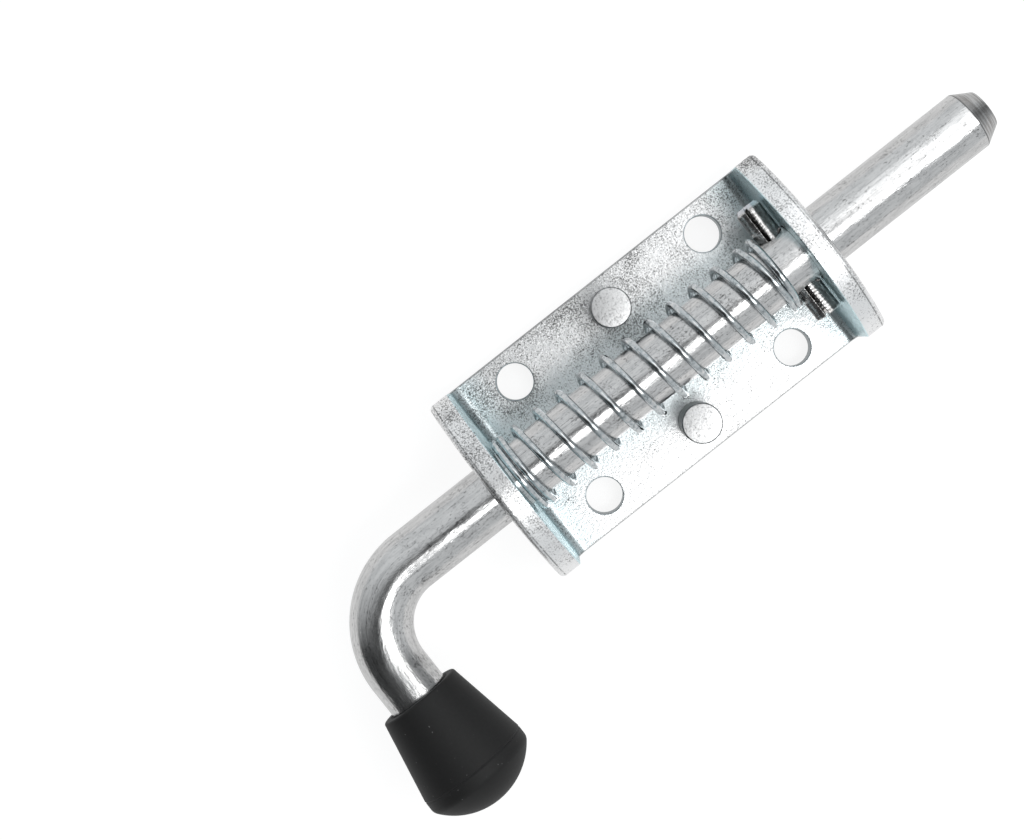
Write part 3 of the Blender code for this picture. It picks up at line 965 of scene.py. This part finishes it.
rubs = noise(rod_zinc, stretched(rod_zinc, bar_place, (0.02, 1.0, 1.0)), 0.0011, detail=2.0)
off_rub = calculate(rod_zinc, "ABSOLUTE", calculate(rod_zinc, "SUBTRACT", rubs, 0.5))
rub_line = spread(rod_zinc, off_rub, 0.005, 0.013, 0.8, 0.0)
rub_line = calculate(rod_zinc, "MULTIPLY", rub_line, spread(rod_zinc, grain, 0.42, 0.52, 1.0, 0.2))
marked = blend(rod_zinc, marked, (0.20, 0.20, 0.20, 1.0), rub_line)
join(rod_zinc, spread(rod_zinc, patches, 0.3, 0.7, 0.24, 0.17), shader.inputs["Roughness"])
bump(rod_zinc, shader, ripple, 0.00010, 0.7)
print("grain of", bar_grain * 1000.0, "mm in patches of", bar_patches * 1000.0, "mm")

# %% [markdown]
# The tip was faced and chamfered on a lathe after the bar was cut, and the tool left rings there.
# The chamfer is painted darker than the bar, as painted shade of a face turned away from the light,
# and a thin dark line of painted shade marks where the chamfer starts. All three are told by X
# alone, because the tip is the only thing that far out.

# %% Zinc for the rod: the turned tip, with painted shade
chamfer_x = tip_x - tip_chamfer
rings = noise(rod_zinc, stretched(rod_zinc, place, (1.0, 0.04, 0.04)), 0.0003, detail=2.0)
rings_and_chamfer_shade = ramp(rod_zinc, rings, [(0.35, grey(0.24, (1.04, 1.0, 0.97))), (0.62, grey(0.52))])
# Painted shade: the chamfer is darker than the bar, with the lathe's rings in it.
chamfer_shade_share = spread(rod_zinc, parts.outputs["X"], chamfer_x, chamfer_x + 0.00015, 0.0, 0.85)
tip_with_shade = blend(rod_zinc, marked, rings_and_chamfer_shade, chamfer_shade_share)
# Painted shade: a thin dark line where the chamfer starts.
off_chamfer_edge = calculate(
    rod_zinc, "ABSOLUTE", calculate(rod_zinc, "SUBTRACT", parts.outputs["X"], chamfer_x)
)
edge_shade_line = spread(rod_zinc, off_chamfer_edge, 0.00008, 0.0002, 0.8, 0.0)
join(
    rod_zinc,
    blend(rod_zinc, tip_with_shade, (0.10, 0.10, 0.10, 1.0), edge_shade_line),
    shader.inputs["Base Color"],
)
wear(rod, rod_zinc)

# %% [markdown]
# The spring is wire that was drawn and wound before it was plated, so it is smoother than the
# rest and mirrors the room more sharply. A faint blue of the bath is left on it, and a noise of a
# millimetre darkens it here and there.

# %% Steel for the spring
spring_steel, shader, place = new_finish("spring_steel", (0.55, 0.59, 0.62), 0.13, 1.0)
tones = noise(spring_steel, place, 0.0009, detail=3.0, roughness=0.7)
join(
    spring_steel,
    ramp(
        spring_steel,
        tones,
        [
            (0.32, grey(0.30, (0.92, 1.0, 1.04))),
            (0.46, grey(0.56, (0.93, 1.0, 1.03))),
            (0.70, grey(0.72)),
        ],
    ),
    shader.inputs["Base Color"],
)
bump(spring_steel, shader, tones, 0.00003, 0.5)
wear(spring, spring_steel)

# %% [markdown]
# The slotted pin is spring steel with its dark heat-treated skin. Rolling the strip into a tube
# left small ridges across it, which break up its shine, and the lead on the driven end is bare.

# %% Dark steel for the slotted pin
dark_steel, shader, place = new_finish("dark_steel", (0.13, 0.13, 0.14), 0.24, 1.0)
tones = noise(dark_steel, stretched(dark_steel, place, (1.0, 0.5, 1.0)), 0.0006, detail=3.0)
skin = ramp(
    dark_steel,
    tones,
    [(0.34, grey(0.28, (1.05, 1.0, 0.97))), (0.5, grey(0.50, (1.02, 1.0, 0.98))), (0.68, grey(0.75))],
)
parts = dark_steel.node_tree.nodes.new("ShaderNodeSeparateXYZ")
join(dark_steel, place, parts.inputs[0])
bare_from = pin_high.y - 0.0009
bare_full = pin_high.y - 0.0006
on_lead = spread(dark_steel, parts.outputs["Y"], bare_from, bare_full, 0.0, 1.0)
join(dark_steel, blend(dark_steel, skin, (0.62, 0.63, 0.66, 1.0), on_lead), shader.inputs["Base Color"])
ridges = dark_steel.node_tree.nodes.new("ShaderNodeTexWave")
ridges.bands_direction = "Y"
ridges.inputs["Scale"].default_value = 420.0
ridges.inputs["Distortion"].default_value = 5.0
ridges.inputs["Detail"].default_value = 3.0
ridges.inputs["Detail Scale"].default_value = 2.0
join(dark_steel, place, ridges.inputs["Vector"])
bump(dark_steel, shader, ridges.outputs["Fac"], 0.00004, 0.5)
wear(pin, dark_steel)

# %% [markdown]
# The cap is black rubber, moulded and dull. It has a very fine grain, a few pale specks of dust,
# and a soft sheen at the dome. Rubber isn't metallic, so a high roughness and a low base colour do
# most of the work.

# %% Rubber for the cap
rubber, shader, place = new_finish("black_rubber", (0.035, 0.035, 0.037), 0.60, 0.0)
shader.inputs["Specular IOR Level"].default_value = 0.30
grain = noise(rubber, place, 0.0003, detail=3.0)
dust = noise(rubber, place, 0.0007, detail=1.0)
join(
    rubber,
    ramp(rubber, dust, [(0.0, grey(0.008)), (0.76, grey(0.011)), (0.82, grey(0.09))]),
    shader.inputs["Base Color"],
)
bump(rubber, shader, grain, 0.00002, 0.4)
wear(cap, rubber)

# %% [markdown]
# Last, the studio. The floor is white paper. The camera, and polished metal, see it lifted to
# white, as in a shop picture, and it still keeps a soft part of the shadow.

# %% White floor
floor_shape = bmesh.new()
bmesh.ops.create_grid(floor_shape, x_segments=1, y_segments=1, size=2.0)
bmesh.ops.translate(floor_shape, verts=floor_shape.verts, vec=(0.0, 0.0, -0.0001))
floor = to_object("studio_floor", floor_shape)
paper, shader, place = new_finish("white_paper", (0.9, 0.9, 0.9), 0.9, 0.0)
shader.inputs["Specular IOR Level"].default_value = 0.0
seen = paper.node_tree.nodes.new("ShaderNodeLightPath")
shown = calculate(paper, "MAXIMUM", seen.outputs["Is Camera Ray"], seen.outputs["Is Glossy Ray"])
join(
    paper,
    blend(paper, (0.9, 0.9, 0.9, 1.0), (0.22, 0.22, 0.22, 1.0), shown),
    shader.inputs["Base Color"],
)
shader.inputs["Emission Color"].default_value = (1.0, 1.0, 1.0, 1.0)
lift = spread(paper, seen.outputs["Is Camera Ray"], 0.0, 1.0, 0.70, 0.87)
join(paper, calculate(paper, "MULTIPLY", shown, lift), shader.inputs["Emission Strength"])
floor.data.materials.append(paper)
print("floor ready")

# %% [markdown]
# Polished metal shows the room round it, so the room needs both light and dark. Pale walls stand
# to the left and right of the rod. The ends of the room, along the rod, are dark, and so is the
# ceiling round the camera. The share of a direction that points sideways tells a wall from an
# end: it is 1 straight at a wall, and 0 straight at an end. The left wall is a fifth brighter.

# %% Room
world = bpy.data.worlds.new("studio_room")
bpy.context.scene.world = world
world.use_nodes = True
room = world.node_tree.nodes
direction = room.new("ShaderNodeTexCoord")
split = room.new("ShaderNodeSeparateXYZ")
join(world, direction.outputs["Generated"], split.inputs[0])
along = split.outputs["X"]
across = split.outputs["Y"]
flat = calculate(world, "POWER", reach(world, along, across), 2.0)
flat = calculate(world, "SQRT", calculate(world, "ADD", flat, 0.03))
sideways = calculate(world, "DIVIDE", calculate(world, "ABSOLUTE", across), flat)
rear_half = spread(world, sideways, 0.25, 0.88, 0.05, 0.66)
front_half = spread(world, sideways, 0.05, 0.50, 0.25, 0.70)
front_share = spread(world, along, -0.05, 0.15, 0.0, 1.0)
mixed = room.new("ShaderNodeMix")
join(world, front_share, mixed.inputs[0])
join(world, rear_half, mixed.inputs[2])
join(world, front_half, mixed.inputs[3])
left_share = spread(world, across, 0.0, 0.35, 1.0, 1.22)
join(
    world,
    calculate(world, "MULTIPLY", mixed.outputs[0], left_share),
    room["Background"].inputs["Strength"],
)
room["Background"].inputs["Color"].default_value = (0.97, 1.0, 1.02, 1.0)
print("room ready")

# %% [markdown]
# Three softboxes hang over the latch. The long one, to the side that the handle points to, draws
# the white line along the rod and lights that half of the plate. The other two hang towards the
# tip and make the front of the rod shine broadly. The last is dim, so that the shine fades out.

# %% Softboxes
def softbox(name, low, high, height, radiance):
    """A flat lamp that faces down and is as bright as the given radiance."""
    size = (high[0] - low[0], high[1] - low[1])
    lamp = bpy.data.lights.new(name, "AREA")
    lamp.shape = "RECTANGLE"
    lamp.size = size[0]
    lamp.size_y = size[1]
    lamp.energy = 4.0 * radiance * size[0] * size[1]
    thing = bpy.data.objects.new(name, lamp)
    thing.location = ((low[0] + high[0]) / 2.0, (low[1] + high[1]) / 2.0, height)
    thing.visible_camera = False
    bpy.context.scene.collection.objects.link(thing)
    print(name, "energy", round(lamp.energy, 2))
    return thing


lamp_height = 0.45
softbox("long_softbox", (-0.10, -0.235), (0.32, -0.090), lamp_height, 3.0)
softbox("tip_softbox", (0.10, -0.095), (0.32, 0.18), lamp_height, 1.0)
softbox("dim_softbox", (0.10, 0.18), (0.32, 0.42), lamp_height, 0.4)

# %% [markdown]
# The camera looks straight down, a little off the middle of the bracket, and is turned so that
# the rod runs from lower left to upper right. Its lens and its small shift come from fitting the
# known sizes of the bracket to the picture, for a frame of 1024 by 840 pixels.

# %% Camera
picture_width = 1024.0
picture_height = 840.0
focal_pixels = 1928.35
look_down_x = 548.42
look_down_y = 336.63
camera_data = bpy.data.cameras.new("portrait_camera")
camera_data.sensor_fit = "HORIZONTAL"
camera_data.sensor_width = 36.0
camera_data.lens = focal_pixels / picture_width * camera_data.sensor_width
camera_data.shift_x = (picture_width / 2.0 - look_down_x) / picture_width
camera_data.shift_y = (look_down_y - picture_height / 2.0) / picture_width
camera = bpy.data.objects.new("portrait_camera", camera_data)
camera.location = (-0.013386, 0.017859, 0.399994)
camera.rotation_euler = (0.0, 0.0, math.radians(-38.281))
bpy.context.scene.collection.objects.link(camera)
bpy.context.scene.camera = camera
bpy.context.scene.view_settings.view_transform = "Standard"
print("lens", round(camera_data.lens, 1), "mm")
